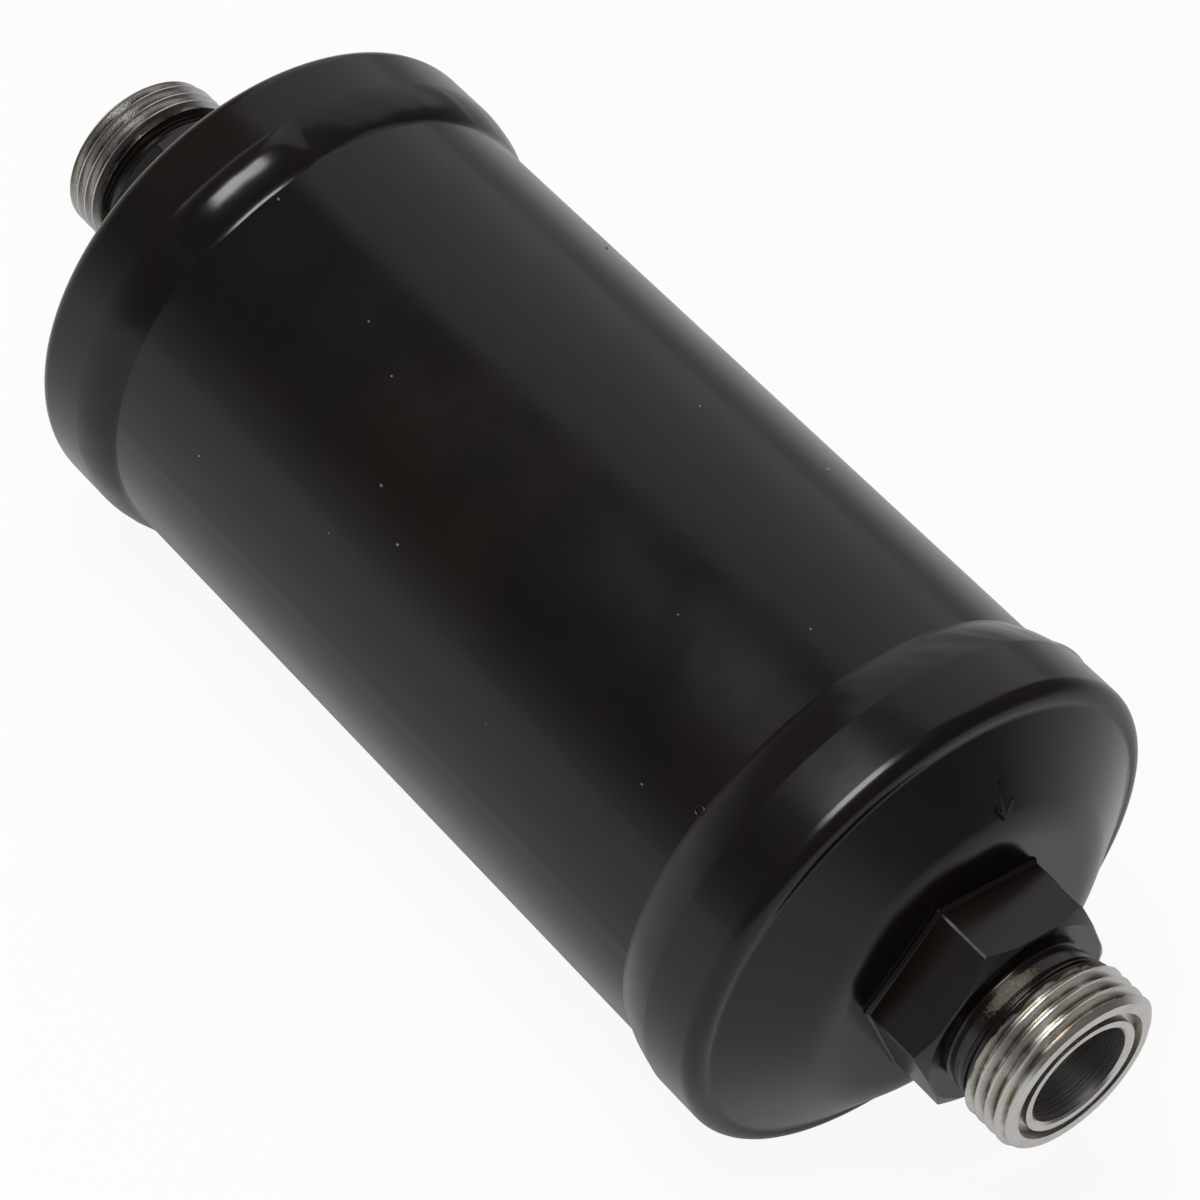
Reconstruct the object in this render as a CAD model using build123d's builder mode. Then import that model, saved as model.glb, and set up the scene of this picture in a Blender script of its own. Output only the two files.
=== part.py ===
from build123d import *
import math
import os

# Inline filter drier: a steel tube with a drawn head over each end, a threaded face-seal
# fitting brazed to each head, and a spring-loaded bed of desiccant beads sealed inside.
# Millimetres. X runs along the flow from inlet to outlet, +Z is up, and the origin is the
# centre of the tube. "Reach" is a distance from a fitting's sealing face along the axis.

# ---- Driving dimensions ----
overall_length = 201.2

# Shell tube
shell_diameter = 72.0
shell_wall = 2.0

# Heads
head_wall = 1.8
skirt_slip = 0.1
face_reach = 22.2
shoulder_reach = 29.6
skirt_reach = 39.1
face_flat_radius = 23.0
valley_inset = 2.9
face_blend_radius = 10.0
valley_blend_radius = 1.0
shoulder_blend_radius = 2.4

# Seam welds
weld_length = 6.1
weld_rise = 0.35
weld_gap = 0.05
weld_crown = 0.42
lap_rise = 0.8
lap_spread = 40.0
lap_steps = 8
lap_inset = 0.4
inlet_lap_angle = 155.0
outlet_lap_angle = 61.0

# Threaded face-seal fittings, 1-14 UNS
thread_diameter = 25.4
thread_end_reach = 7.9
neck_diameter = 23.2
hex_across_flats = 28.5
hex_front_reach = 12.1
hex_chamfer_angle = 30.0
lead_chamfer = 0.9
relief_chamfer = 0.7
bore_diameter = 15.4
bore_edge_break = 0.3
seal_groove_inner_diameter = 18.0
seal_groove_outer_diameter = 20.6
seal_groove_depth = 1.3
spigot_diameter = 22.0
spigot_slip = 0.1
spigot_tail = 2.2
inlet_hex_turn = 0.0
outlet_hex_turn = 0.0

# Braze fillets round the hexagons
braze_leg = 0.7
braze_height = 0.8

# End plates nipped between the tube and the heads
plate_thickness = 1.2
plate_nip = 0.2
plate_edge_gap = 0.7
retainer_port_diameter = 20.0
retainer_hole_diameter = 10.0
retainer_hole_circle = 36.0
retainer_hole_count = 6

# Spring
wire_diameter = 2.6
spring_diameter = 52.0
spring_height = 12.0
spring_turns = 2.5
ground_depth = 0.7

# Pressure plate and perforations
pressure_rim_height = 4.0
perforation_diameter = 5.0
perforation_rings = 3
perforation_ring_pitch = 9.5
perforations_per_ring = 6

# Bed
bore_slip = 0.3
mesh_thickness = 0.5
pad_thickness = 4.0

# ---- Derived sizes ----
half_length = overall_length / 2
shell_radius = shell_diameter / 2
shell_bore_radius = shell_radius - shell_wall
skirt_bore_radius = shell_radius + skirt_slip
skirt_radius = skirt_bore_radius + head_wall
valley_radius = skirt_radius - valley_inset
plate_reach = shoulder_reach + head_wall + plate_nip
shell_end_reach = plate_reach + plate_thickness
plate_radius = shell_radius - plate_edge_gap
inner_radius = shell_bore_radius - bore_slip
hex_corner_radius = hex_across_flats / 2 / math.cos(math.radians(30))
spigot_radius = spigot_diameter / 2
weld_end_reach = skirt_reach + weld_length


def at_inlet(reach):
    """X of a point that lies this far in from the inlet's sealing face."""
    return reach - half_length


# ---- Shell tube ----
shell_length = overall_length - 2 * shell_end_reach
with BuildPart() as shell_tube:
    with BuildSketch(Plane.YZ.offset(at_inlet(shell_end_reach))):
        Circle(shell_radius)
        Circle(shell_bore_radius, mode=Mode.SUBTRACT)
    extrude(amount=shell_length)


# ---- Heads: one drawn wall with a flat seat, a cone, a shallow valley and a shoulder ----
with BuildPart() as inlet_head:
    with BuildSketch(Plane.XZ):
        with BuildLine():
            outer = FilletPolyline(
                (at_inlet(face_reach), 0),
                (at_inlet(face_reach), face_flat_radius),
                (at_inlet(shoulder_reach), valley_radius),
                (at_inlet(shoulder_reach), skirt_radius),
                (at_inlet(skirt_reach), skirt_radius),
                radius=[face_blend_radius, valley_blend_radius, shoulder_blend_radius],
            )
            Line(outer @ 1, (at_inlet(skirt_reach), 0))
            Line((at_inlet(skirt_reach), 0), outer @ 0)
        make_face()
    revolve(axis=Axis.X)
    mouth = inlet_head.faces().sort_by(Axis.X)[-1]
    offset(amount=-head_wall, openings=mouth)
    with Locations(Plane.YZ.offset(at_inlet(face_reach))):
        Cylinder(spigot_radius + spigot_slip, 4 * head_wall, mode=Mode.SUBTRACT)

with BuildPart() as outlet_head:
    add(mirror(inlet_head.part, about=Plane.YZ))


# ---- Seam welds: a ring against each skirt, with a taller stretch where its ends lap ----
def seam_weld(lap_angle):
    """The inlet's weld ring, with its lap centred at this angle from +Y towards +Z."""
    root_radius = shell_radius + weld_gap
    crown_x = at_inlet(skirt_reach + weld_crown * weld_length)
    lap_start_x = at_inlet(skirt_reach + lap_inset)
    lap_end_x = at_inlet(weld_end_reach - lap_inset)
    with BuildPart() as ring:
        with BuildSketch(Plane.XY):
            with BuildLine():
                crown = ThreePointArc(
                    (at_inlet(skirt_reach), skirt_radius),
                    (crown_x, skirt_radius + weld_rise),
                    (at_inlet(weld_end_reach), root_radius),
                )
                Polyline(crown @ 1, (at_inlet(skirt_reach), root_radius), crown @ 0)
            make_face()
        revolve(axis=Axis.X)
        # The lap rises out of the ring and sinks back into it. Its own foot stays buried.
        for step in range(lap_steps + 1):
            tilt = math.radians(lap_angle + lap_spread * (step / lap_steps - 0.5))
            swell = math.sin(math.pi * step / lap_steps) ** 2
            rise = swell * (weld_rise + lap_rise + lap_inset) - lap_inset
            across = Plane(
                origin=(0, 0, 0), x_dir=(1, 0, 0), z_dir=(0, -math.sin(tilt), math.cos(tilt))
            )
            with BuildSketch(across):
                with BuildLine():
                    back = ThreePointArc(
                        (lap_start_x, skirt_radius - lap_inset),
                        (crown_x, skirt_radius + rise),
                        (lap_end_x, root_radius + lap_inset / 2),
                    )
                    Line(back @ 1, (lap_start_x, root_radius + lap_inset / 2))
                    Line((lap_start_x, root_radius + lap_inset / 2), back @ 0)
                make_face()
        loft(clean=False)
    return ring


inlet_seam_weld = seam_weld(inlet_lap_angle)
outlet_lap = seam_weld(outlet_lap_angle)
with BuildPart() as outlet_seam_weld:
    add(mirror(outlet_lap.part, about=Plane.YZ), clean=False)


# ---- Fittings: hexagon, neck, stud with a face-seal groove, and a spigot into the head ----
def fitting(hex_turn):
    """The inlet's fitting, with its hexagon turned this far about the axis."""
    thread_radius = thread_diameter / 2
    neck_radius = neck_diameter / 2
    spigot_end_reach = face_reach + head_wall + spigot_tail
    flat_radius = hex_across_flats / 2
    hex_length = face_reach - hex_front_reach
    with BuildPart() as body:
        with BuildSketch(Plane.YZ.offset(at_inlet(hex_front_reach))):
            RegularPolygon(hex_corner_radius, 6, rotation=hex_turn)
        extrude(amount=hex_length)
        # The turned chamfer leaves a round front face and curved edges on the flats.
        chamfer_run = (hex_corner_radius - flat_radius) * math.tan(math.radians(hex_chamfer_angle))
        with BuildSketch(Plane.XZ) as envelope:
            with BuildLine():
                Polyline(
                    (at_inlet(hex_front_reach), 0),
                    (at_inlet(hex_front_reach), flat_radius),
                    (at_inlet(hex_front_reach + chamfer_run), hex_corner_radius),
                    (at_inlet(face_reach), hex_corner_radius),
                    (at_inlet(face_reach), 0),
                    close=True,
                )
            make_face()
        revolve(axis=Axis.X, mode=Mode.INTERSECT)
        with BuildSketch(Plane.XZ):
            with BuildLine():
                Polyline(
                    (at_inlet(0), 0),
                    (at_inlet(0), thread_radius - lead_chamfer),
                    (at_inlet(lead_chamfer), thread_radius),
                    (at_inlet(thread_end_reach - relief_chamfer), thread_radius),
                    (at_inlet(thread_end_reach), neck_radius),
                    (at_inlet(hex_front_reach + 1), neck_radius),
                    (at_inlet(hex_front_reach + 1), 0),
                    close=True,
                )
            make_face()
        revolve(axis=Axis.X)
        with BuildSketch(Plane.YZ.offset(at_inlet(face_reach))):
            Circle(spigot_radius)
        extrude(amount=spigot_end_reach - face_reach)
        with BuildSketch(Plane.YZ.offset(at_inlet(0))):
            Circle(seal_groove_outer_diameter / 2)
            Circle(seal_groove_inner_diameter / 2, mode=Mode.SUBTRACT)
        extrude(amount=seal_groove_depth, mode=Mode.SUBTRACT)
        with BuildSketch(Plane.YZ.offset(at_inlet(0))):
            Circle(bore_diameter / 2)
        extrude(amount=spigot_end_reach, mode=Mode.SUBTRACT)
        mouth = body.edges().filter_by(GeomType.CIRCLE).group_by(Axis.X)[0].sort_by(SortBy.RADIUS)[0]
        chamfer(mouth, bore_edge_break)
    return body


inlet_fitting = fitting(inlet_hex_turn)
outlet_turned = fitting(outlet_hex_turn)
with BuildPart() as outlet_fitting:
    add(mirror(outlet_turned.part, about=Plane.YZ))


# ---- Braze fillets round the foot of each hexagon ----
def braze_fillet(hex_turn):
    """The inlet's braze fillet, a sloped six-sided collar on the head's flat seat."""
    slope = math.degrees(math.atan2(braze_leg, braze_height))
    foot_radius = (hex_across_flats / 2 + braze_leg) / math.cos(math.radians(30))
    with BuildPart() as collar:
        with BuildSketch(Plane.YZ.offset(at_inlet(face_reach))):
            RegularPolygon(foot_radius, 6, rotation=hex_turn)
        extrude(amount=-braze_height, taper=slope)
        with BuildSketch(Plane.YZ.offset(at_inlet(face_reach))):
            RegularPolygon(hex_corner_radius, 6, rotation=hex_turn)
        extrude(amount=-2 * braze_height, mode=Mode.SUBTRACT)
    return collar


inlet_braze_ring = braze_fillet(inlet_hex_turn)
outlet_braze = braze_fillet(outlet_hex_turn)
with BuildPart() as outlet_braze_ring:
    add(mirror(outlet_braze.part, about=Plane.YZ))


# ---- Inner stack, from the inlet to the outlet ----
def perforated_plate(reach, radius, rim_height):
    """A plate with its inlet side at this reach, rings of holes and a rim towards the inlet."""
    with BuildPart() as plate:
        with BuildSketch(Plane.YZ.offset(at_inlet(reach - rim_height))):
            Circle(radius)
        extrude(amount=rim_height + plate_thickness)
        if rim_height > 0:
            with BuildSketch(Plane.YZ.offset(at_inlet(reach - rim_height))):
                Circle(radius - plate_thickness)
            extrude(amount=rim_height, mode=Mode.SUBTRACT)
        with BuildSketch(Plane.YZ.offset(at_inlet(reach))):
            Circle(perforation_diameter / 2)
            for ring in range(1, perforation_rings):
                with PolarLocations(ring * perforation_ring_pitch, ring * perforations_per_ring):
                    Circle(perforation_diameter / 2)
        extrude(amount=plate_thickness, mode=Mode.SUBTRACT)
    return plate


with BuildPart() as spring_retainer:
    with BuildSketch(Plane.YZ.offset(at_inlet(plate_reach))):
        Circle(plate_radius)
        Circle(retainer_port_diameter / 2, mode=Mode.SUBTRACT)
        with PolarLocations(retainer_hole_circle / 2, retainer_hole_count):
            Circle(retainer_hole_diameter / 2, mode=Mode.SUBTRACT)
    extrude(amount=plate_thickness)

spring_start = shell_end_reach
with BuildPart() as compression_spring:
    coil_radius = spring_diameter / 2
    coil_length = spring_height - 2 * ground_depth
    with BuildLine():
        coil = Helix(
            coil_length / spring_turns,
            coil_length,
            coil_radius,
            center=(at_inlet(spring_start + ground_depth), 0, 0),
            direction=(1, 0, 0),
        )
    with BuildSketch(Plane(origin=coil @ 0, z_dir=coil % 0)):
        Circle(wire_diameter / 2)
    sweep(is_frenet=True)
    # Both ends are ground flat to their seats.
    with BuildSketch(Plane.YZ.offset(at_inlet(spring_start))):
        Circle(coil_radius + wire_diameter)
    extrude(amount=spring_height, mode=Mode.INTERSECT)

pressure_reach = spring_start + spring_height
pressure_plate = perforated_plate(pressure_reach, inner_radius, pressure_rim_height)


def disc(reach, thickness):
    """A plain disc across the tube's bore, with its inlet side at this reach."""
    with BuildPart() as layer:
        with BuildSketch(Plane.YZ.offset(at_inlet(reach))):
            Circle(inner_radius)
        extrude(amount=thickness)
    return layer


inlet_mesh_reach = pressure_reach + plate_thickness
inlet_pad_reach = inlet_mesh_reach + mesh_thickness
bed_reach = inlet_pad_reach + pad_thickness
outlet_plate_reach = overall_length - shell_end_reach
outlet_mesh_reach = outlet_plate_reach - mesh_thickness
outlet_pad_reach = outlet_mesh_reach - pad_thickness

inlet_mesh_screen = disc(inlet_mesh_reach, mesh_thickness)
inlet_fibre_pad = disc(inlet_pad_reach, pad_thickness)
desiccant_bed = disc(bed_reach, outlet_pad_reach - bed_reach)
outlet_fibre_pad = disc(outlet_pad_reach, pad_thickness)
outlet_mesh_screen = disc(outlet_mesh_reach, mesh_thickness)

outlet_support_plate = perforated_plate(outlet_plate_reach, plate_radius, 0)


# ---- One file for each piece ----
pieces = {
    "shell_tube": shell_tube,
    "inlet_head": inlet_head,
    "outlet_head": outlet_head,
    "inlet_seam_weld": inlet_seam_weld,
    "outlet_seam_weld": outlet_seam_weld,
    "inlet_fitting": inlet_fitting,
    "outlet_fitting": outlet_fitting,
    "inlet_braze_ring": inlet_braze_ring,
    "outlet_braze_ring": outlet_braze_ring,
    "spring_retainer": spring_retainer,
    "compression_spring": compression_spring,
    "pressure_plate": pressure_plate,
    "inlet_mesh_screen": inlet_mesh_screen,
    "inlet_fibre_pad": inlet_fibre_pad,
    "desiccant_bed": desiccant_bed,
    "outlet_fibre_pad": outlet_fibre_pad,
    "outlet_mesh_screen": outlet_mesh_screen,
    "outlet_support_plate": outlet_support_plate,
}
os.makedirs("parts", exist_ok=True)
for name, piece in pieces.items():
    piece.part.label = name
    export_step(piece.part, f"parts/{name}.step")
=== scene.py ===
import math

import bpy
from mathutils import Matrix, Vector


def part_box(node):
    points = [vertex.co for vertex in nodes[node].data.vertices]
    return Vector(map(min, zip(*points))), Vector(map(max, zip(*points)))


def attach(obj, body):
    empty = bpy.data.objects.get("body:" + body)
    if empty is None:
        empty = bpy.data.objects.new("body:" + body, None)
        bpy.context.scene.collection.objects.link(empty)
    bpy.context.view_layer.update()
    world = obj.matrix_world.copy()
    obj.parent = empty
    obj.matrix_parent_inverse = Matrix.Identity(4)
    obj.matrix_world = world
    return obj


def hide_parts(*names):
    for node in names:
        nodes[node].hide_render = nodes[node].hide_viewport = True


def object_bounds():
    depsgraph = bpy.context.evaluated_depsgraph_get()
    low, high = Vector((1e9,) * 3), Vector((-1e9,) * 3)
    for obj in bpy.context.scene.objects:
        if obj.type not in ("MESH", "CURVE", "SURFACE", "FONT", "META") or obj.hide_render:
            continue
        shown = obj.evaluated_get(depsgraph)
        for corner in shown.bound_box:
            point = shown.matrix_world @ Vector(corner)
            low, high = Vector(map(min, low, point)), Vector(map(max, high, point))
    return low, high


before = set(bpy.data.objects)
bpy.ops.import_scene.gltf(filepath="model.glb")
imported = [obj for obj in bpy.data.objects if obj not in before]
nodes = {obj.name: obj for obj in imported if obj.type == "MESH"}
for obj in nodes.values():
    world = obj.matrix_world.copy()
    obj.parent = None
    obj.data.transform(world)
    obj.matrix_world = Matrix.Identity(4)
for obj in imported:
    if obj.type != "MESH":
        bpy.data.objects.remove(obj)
cad_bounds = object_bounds()


# Shell tube: a drawn steel tube, 72 mm across with a 2 mm wall. It is sprayed
# after welding with a thin satin black paint that shows a faint orange peel, a
# little dust and a slightly uneven gloss.
mm = 0.001
paint_black = (0.0046, 0.0036, 0.0030, 1.0)
paint_brown = (0.0068, 0.0047, 0.0032, 1.0)
dust_grey = (0.075, 0.072, 0.068, 1.0)
paint_roughness = (0.195, 0.235)
paint_ior = 1.45
cloud_size = 34 * mm
gloss_size = 9 * mm
peel_size = 1.3 * mm
peel_height = 0.004 * mm
ripple_size = 11 * mm
ripple_height = 0.006 * mm
dust_pitch = 5.5 * mm
dust_radius = 0.17 * mm
dust_share = 0.16
cloud_levels = (0.35, 0.65)
noise_levels = (0.3, 0.7)
noise_roughness = 0.55


def feed(tree, socket, value):
    """The socket takes another node's output, or else a plain value."""
    if isinstance(value, bpy.types.NodeSocket):
        tree.links.new(value, socket)
    else:
        socket.default_value = value


def shader_node(tree, kind, inputs=(), **settings):
    """A node of this kind, with these settings and with its inputs fed."""
    made = tree.nodes.new(kind)
    for name, value in settings.items():
        setattr(made, name, value)
    for name, value in dict(inputs).items():
        feed(tree, made.inputs[name], value)
    return made


def start_material(name):
    """An empty material with its output, principled shader and object coordinates."""
    material = bpy.data.materials.new(name)
    material.use_nodes = True
    tree = material.node_tree
    tree.nodes.clear()
    place = shader_node(tree, "ShaderNodeTexCoord").outputs["Object"]
    surface = shader_node(tree, "ShaderNodeBsdfPrincipled")
    shader_node(tree, "ShaderNodeOutputMaterial", {"Surface": surface.outputs["BSDF"]})
    return material, tree, place, surface


def noise(tree, place, size, detail=2.0):
    """Soft noise from 0 to 1 whose lumps are about this large, in metres."""
    return shader_node(
        tree,
        "ShaderNodeTexNoise",
        {"Vector": place, "Scale": 1 / size, "Detail": detail, "Roughness": noise_roughness},
    ).outputs["Fac"]


def spread(tree, value, low, high, to_low=0.0, to_high=1.0):
    """The value between low and high, taken smoothly to another range."""
    return shader_node(
        tree,
        "ShaderNodeMapRange",
        {
            "Value": value,
            "From Min": low,
            "From Max": high,
            "To Min": to_low,
            "To Max": to_high,
        },
        interpolation_type="SMOOTHSTEP",
    ).outputs["Result"]


def math_node(tree, operation, first, second=0.0):
    """One sum on one or two values."""
    made = shader_node(tree, "ShaderNodeMath", operation=operation)
    for socket, value in zip(made.inputs, (first, second)):
        feed(tree, socket, value)
    return made.outputs["Value"]


def mix_colour(tree, share, first, second):
    """Two colours mixed by a share from 0 to 1."""
    made = shader_node(tree, "ShaderNodeMix", data_type="RGBA")
    # The node has sockets for each kind of data. These are the share's and the colours'.
    for socket, value in ((0, share), (6, first), (7, second)):
        feed(tree, made.inputs[socket], value)
    return made.outputs[2]


def height_bump(tree, height, distance, normal=None):
    """A bump of this height in metres, over any bump before it."""
    inputs = {"Height": height, "Distance": distance, "Strength": 1.0}
    if normal is not None:
        inputs["Normal"] = normal
    return shader_node(tree, "ShaderNodeBump", inputs).outputs["Normal"]


def dust_specks(tree, place, pitch, radius, share):
    """1 on a few small specks, 0 elsewhere."""
    cells = shader_node(tree, "ShaderNodeTexVoronoi", {"Vector": place, "Scale": 1 / pitch})
    near = math_node(tree, "LESS_THAN", cells.outputs["Distance"], radius / pitch)
    chance = shader_node(tree, "ShaderNodeSeparateColor", {"Color": cells.outputs["Color"]})
    chosen = math_node(tree, "LESS_THAN", chance.outputs["Red"], share)
    return math_node(tree, "MULTIPLY", near, chosen)


def paint_layers(tree, place, peel=1.0):
    """Colour, roughness and normal of the satin black paint."""
    clouds = spread(tree, noise(tree, place, cloud_size), *cloud_levels)
    colour = mix_colour(tree, clouds, paint_black, paint_brown)
    dust = dust_specks(tree, place, dust_pitch, dust_radius, dust_share)
    colour = mix_colour(tree, dust, colour, dust_grey)
    gloss = noise(tree, place, gloss_size, 4.0)
    roughness = spread(tree, gloss, *noise_levels, *paint_roughness)
    normal = height_bump(tree, noise(tree, place, ripple_size), ripple_height)
    normal = height_bump(tree, noise(tree, place, peel_size, 1.0), peel_height * peel, normal)
    return colour, roughness, normal


def satin_black(name, peel=1.0, tint=None):
    """Satin black paint with this much peel, or the tinted paint on grains of dust."""
    material, tree, place, surface = start_material(name)
    colour, roughness, normal = paint_layers(tree, place, peel)
    if tint is not None:
        colour = mix_colour(tree, noise(tree, place, peel_size), colour, tint)
    feed(tree, surface.inputs["Base Color"], colour)
    feed(tree, surface.inputs["Roughness"], roughness)
    feed(tree, surface.inputs["Normal"], normal)
    feed(tree, surface.inputs["IOR"], paint_ior)
    return material


shell_material = satin_black("satin_black_shell")
nodes["shell_tube"].material_slots[0].material = shell_material


# End heads: two deep-drawn steel caps, 1.8 mm thick, pressed over the tube's ends.
# Each has a flat seat for its fitting, a cone, a valley and a round shoulder. A
# small arrow that points in, towards the fitting, is stamped in the inlet's cone.
inlet_face_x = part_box("inlet_fitting")[0].x
head_face_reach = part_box("inlet_head")[0].x - inlet_face_x
skirt_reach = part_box("inlet_head")[1].x - inlet_face_x
skirt_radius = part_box("inlet_head")[1].y
head_wall = 1.8 * mm
shoulder_reach = 29.6 * mm
face_flat_radius = 23.0 * mm
valley_inset = 2.9 * mm
valley_radius = skirt_radius - valley_inset
face_blend = 10.0 * mm
valley_blend = 1.2 * mm
shoulder_blend = 2.4 * mm
spigot_hole_radius = 11.1 * mm
ring_steps = 360
merge_gap = 0.002 * mm
head_crease = 32
head_peel = 1.2
arrow_angle = math.radians(93)
arrow_radius = 26.9 * mm
arrow_length = 5.4 * mm
barb_length = 2.7 * mm
barb_turn = math.radians(38)
stroke_depth = 0.42 * mm
punch_size = 2.0 * mm
punch_lean = math.radians(45)


def at_inlet(reach):
    """X of a point that lies this far in from the inlet's sealing face."""
    return inlet_face_x + reach


def select_only(piece):
    """Only this object is selected and active."""
    bpy.ops.object.select_all(action="DESELECT")
    piece.select_set(True)
    bpy.context.view_layer.objects.active = piece


def rounded(corners, radii, steps=10):
    """The points of a half outline whose inner corners are rounded by these radii."""
    points = [corners[0]]
    for before, corner, after, radius in zip(corners, corners[1:], corners[2:], radii):
        corner = Vector(corner)
        back = (Vector(before) - corner).normalized()
        ahead = (Vector(after) - corner).normalized()
        half_turn = back.angle(ahead) / 2
        middle = corner + (back + ahead).normalized() * radius / math.sin(half_turn)
        start = corner + back * radius / math.tan(half_turn) - middle
        end = corner + ahead * radius / math.tan(half_turn) - middle
        for step in range(steps + 1):
            spoke = start.lerp(end, step / steps).normalized() * radius
            points.append(tuple(middle + spoke))
    return points + [corners[-1]]


def turned_ring(name, outline, steps=ring_steps):
    """A closed ring turned about X from a closed half outline of reach and radius."""
    bpy.ops.object.select_all(action="DESELECT")
    reach, radius = outline[0]
    bpy.ops.mesh.primitive_circle_add(
        vertices=steps,
        radius=radius,
        location=(at_inlet(reach), 0, 0),
        rotation=(0, math.pi / 2, 0),
    )
    piece = bpy.context.object
    piece.name = name
    bpy.ops.object.transform_apply(location=True, rotation=True, scale=True)
    bpy.ops.object.mode_set(mode="EDIT")
    bpy.ops.mesh.select_all(action="SELECT")
    for next_reach, next_radius in outline[1:] + outline[:1]:
        step = (next_reach - reach, 0, 0)
        bpy.ops.mesh.extrude_edges_move(TRANSFORM_OT_translate={"value": step})
        growth = next_radius / radius
        bpy.ops.transform.resize(
            value=(1, growth, growth), center_override=(at_inlet(next_reach), 0, 0)
        )
        reach, radius = next_reach, next_radius
    bpy.ops.mesh.select_all(action="SELECT")
    bpy.ops.mesh.remove_doubles(threshold=merge_gap)
    bpy.ops.mesh.normals_make_consistent(inside=False)
    bpy.ops.object.mode_set(mode="OBJECT")
    return piece


def finish_by(piece, kind, **settings):
    """A modifier of this kind, applied to the piece."""
    select_only(piece)
    modifier = piece.modifiers.new(kind.lower(), kind)
    for name, value in settings.items():
        setattr(modifier, name, value)
    bpy.ops.object.modifier_apply(modifier=modifier.name)


def smooth_by_angle(piece, degrees):
    """Smooth faces, with edges left crisp where they turn by more than this."""
    select_only(piece)
    bpy.ops.object.shade_smooth_by_angle(angle=math.radians(degrees))


def dress(piece, material):
    """The piece rides on the part and takes its finish from this slot."""
    piece.data.materials.clear()
    piece.data.materials.append(material)
    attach(piece, "root")


def standing_at(place, x_axis, y_axis, z_axis):
    """The matrix that stands a thing at this place, with its axes along these."""
    matrix = Matrix(tuple(zip(x_axis, y_axis, z_axis))).to_4x4()
    matrix.translation = place
    return matrix


def offset_corner(corner, back_normal, ahead_normal):
    """Where two wall lines meet after both are moved in by the head's wall."""
    turn = back_normal.dot(ahead_normal)
    return Vector(corner) + (back_normal + ahead_normal) * head_wall / (1 + turn)


outer_corners = [
    (head_face_reach, spigot_hole_radius),
    (head_face_reach, face_flat_radius),
    (shoulder_reach, valley_radius),
    (shoulder_reach, skirt_radius),
    (skirt_reach, skirt_radius),
]
cone = (Vector(outer_corners[2]) - Vector(outer_corners[1])).normalized()
face_inward = Vector((1, 0))
cone_inward = Vector((cone.y, -cone.x))
inner_corners = [
    (head_face_reach + head_wall, spigot_hole_radius),
    tuple(offset_corner(outer_corners[1], face_inward, cone_inward)),
    tuple(offset_corner(outer_corners[2], cone_inward, face_inward)),
    (shoulder_reach + head_wall, skirt_radius - head_wall),
    (skirt_reach, skirt_radius - head_wall),
]
outer_line = rounded(outer_corners, (face_blend, valley_blend, shoulder_blend))
inner_line = rounded(
    inner_corners,
    (face_blend - head_wall, valley_blend + head_wall, shoulder_blend - head_wall),
)
inlet_head = turned_ring("inlet_head_pressing", outer_line + inner_line[::-1])

# The arrow is three strokes, a shaft and two barbs, each struck by a square punch
# that stands on its edge, so that it leaves a V-shaped groove.
radial = Vector((0, math.cos(arrow_angle), math.sin(arrow_angle)))
out_of_cone = Vector((-cone.y, radial.y * cone.x, radial.z * cone.x))
down_cone = -Vector((cone.x, radial.y * cone.y, radial.z * cone.y))
cone_reach = head_face_reach + (arrow_radius - face_flat_radius) * cone.x / cone.y
on_cone = Vector((at_inlet(cone_reach), *(radial.yz * arrow_radius)))
stand = standing_at(on_cone, down_cone.cross(out_of_cone), down_cone, out_of_cone)
punch_height = punch_size / math.sqrt(2) - stroke_depth
tip_point = Vector((0, arrow_length / 2, 0))
strokes = ((arrow_length, 0), (barb_length, barb_turn), (barb_length, -barb_turn))
for stroke_length, turn in strokes:
    back = Vector((math.sin(turn), -math.cos(turn), 0))
    middle = tip_point + back * stroke_length / 2
    bpy.ops.object.select_all(action="DESELECT")
    bpy.ops.mesh.primitive_cube_add(size=1, location=(0, 0, 0))
    punch = bpy.context.object
    punch.scale = (punch_size, stroke_length, punch_size)
    bpy.ops.object.transform_apply(location=True, rotation=True, scale=True)
    moved = Matrix.Translation((middle.x, middle.y, punch_height))
    turned = Matrix.Rotation(turn, 4, "Z") @ Matrix.Rotation(punch_lean, 4, "Y")
    punch.data.transform(stand @ moved @ turned)
    finish_by(inlet_head, "BOOLEAN", object=punch, operation="DIFFERENCE", solver="EXACT")
    bpy.data.objects.remove(punch)
smooth_by_angle(inlet_head, head_crease)
head_material = satin_black("satin_black_heads", head_peel)
dress(inlet_head, head_material)
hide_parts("inlet_head")
nodes["outlet_head"].material_slots[0].material = head_material


# Seam welds: one bead of weld round each head's skirt, run in a single pass that
# laps over its own start. The bead is a little uneven, and the paint has softened it.
weld_end_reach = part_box("inlet_seam_weld")[1].x - inlet_face_x
shell_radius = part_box("shell_tube")[1].y
weld_root_radius = 35.9 * mm
weld_toe_radius = 36.12 * mm
weld_fillet = 0.45 * mm
weld_back_share = 0.45
weld_length = weld_end_reach - skirt_reach
weld_drop = skirt_radius - weld_toe_radius
flush_radius = (weld_length**2 + weld_drop**2) / (2 * weld_drop)
outlet_back_radius = (
    skirt_radius - flush_radius + math.sqrt(flush_radius**2 - (weld_back_share * weld_length) ** 2)
)
inlet_back_radius = 37.42 * mm
inlet_lap_height = 1.1 * mm
outlet_lap_height = 1.1 * mm
lap_half_spread = math.radians(17)
lap_toe = 0.9 * mm
lap_flatness = 4
lap_fade = 1.3
lap_toe_bend = 3
bead_steps = 14
crown_roundness = 0.8
uneven_height = 0.05 * mm
uneven_level = 1.1
edge_wander = 0.22 * mm
edge_level = 1.2
edge_share = 0.01
inlet_step = 0.12 * mm
outlet_step = 0.0
inlet_lap_angle = math.radians(154)
outlet_lap_angle = math.radians(118)
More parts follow.
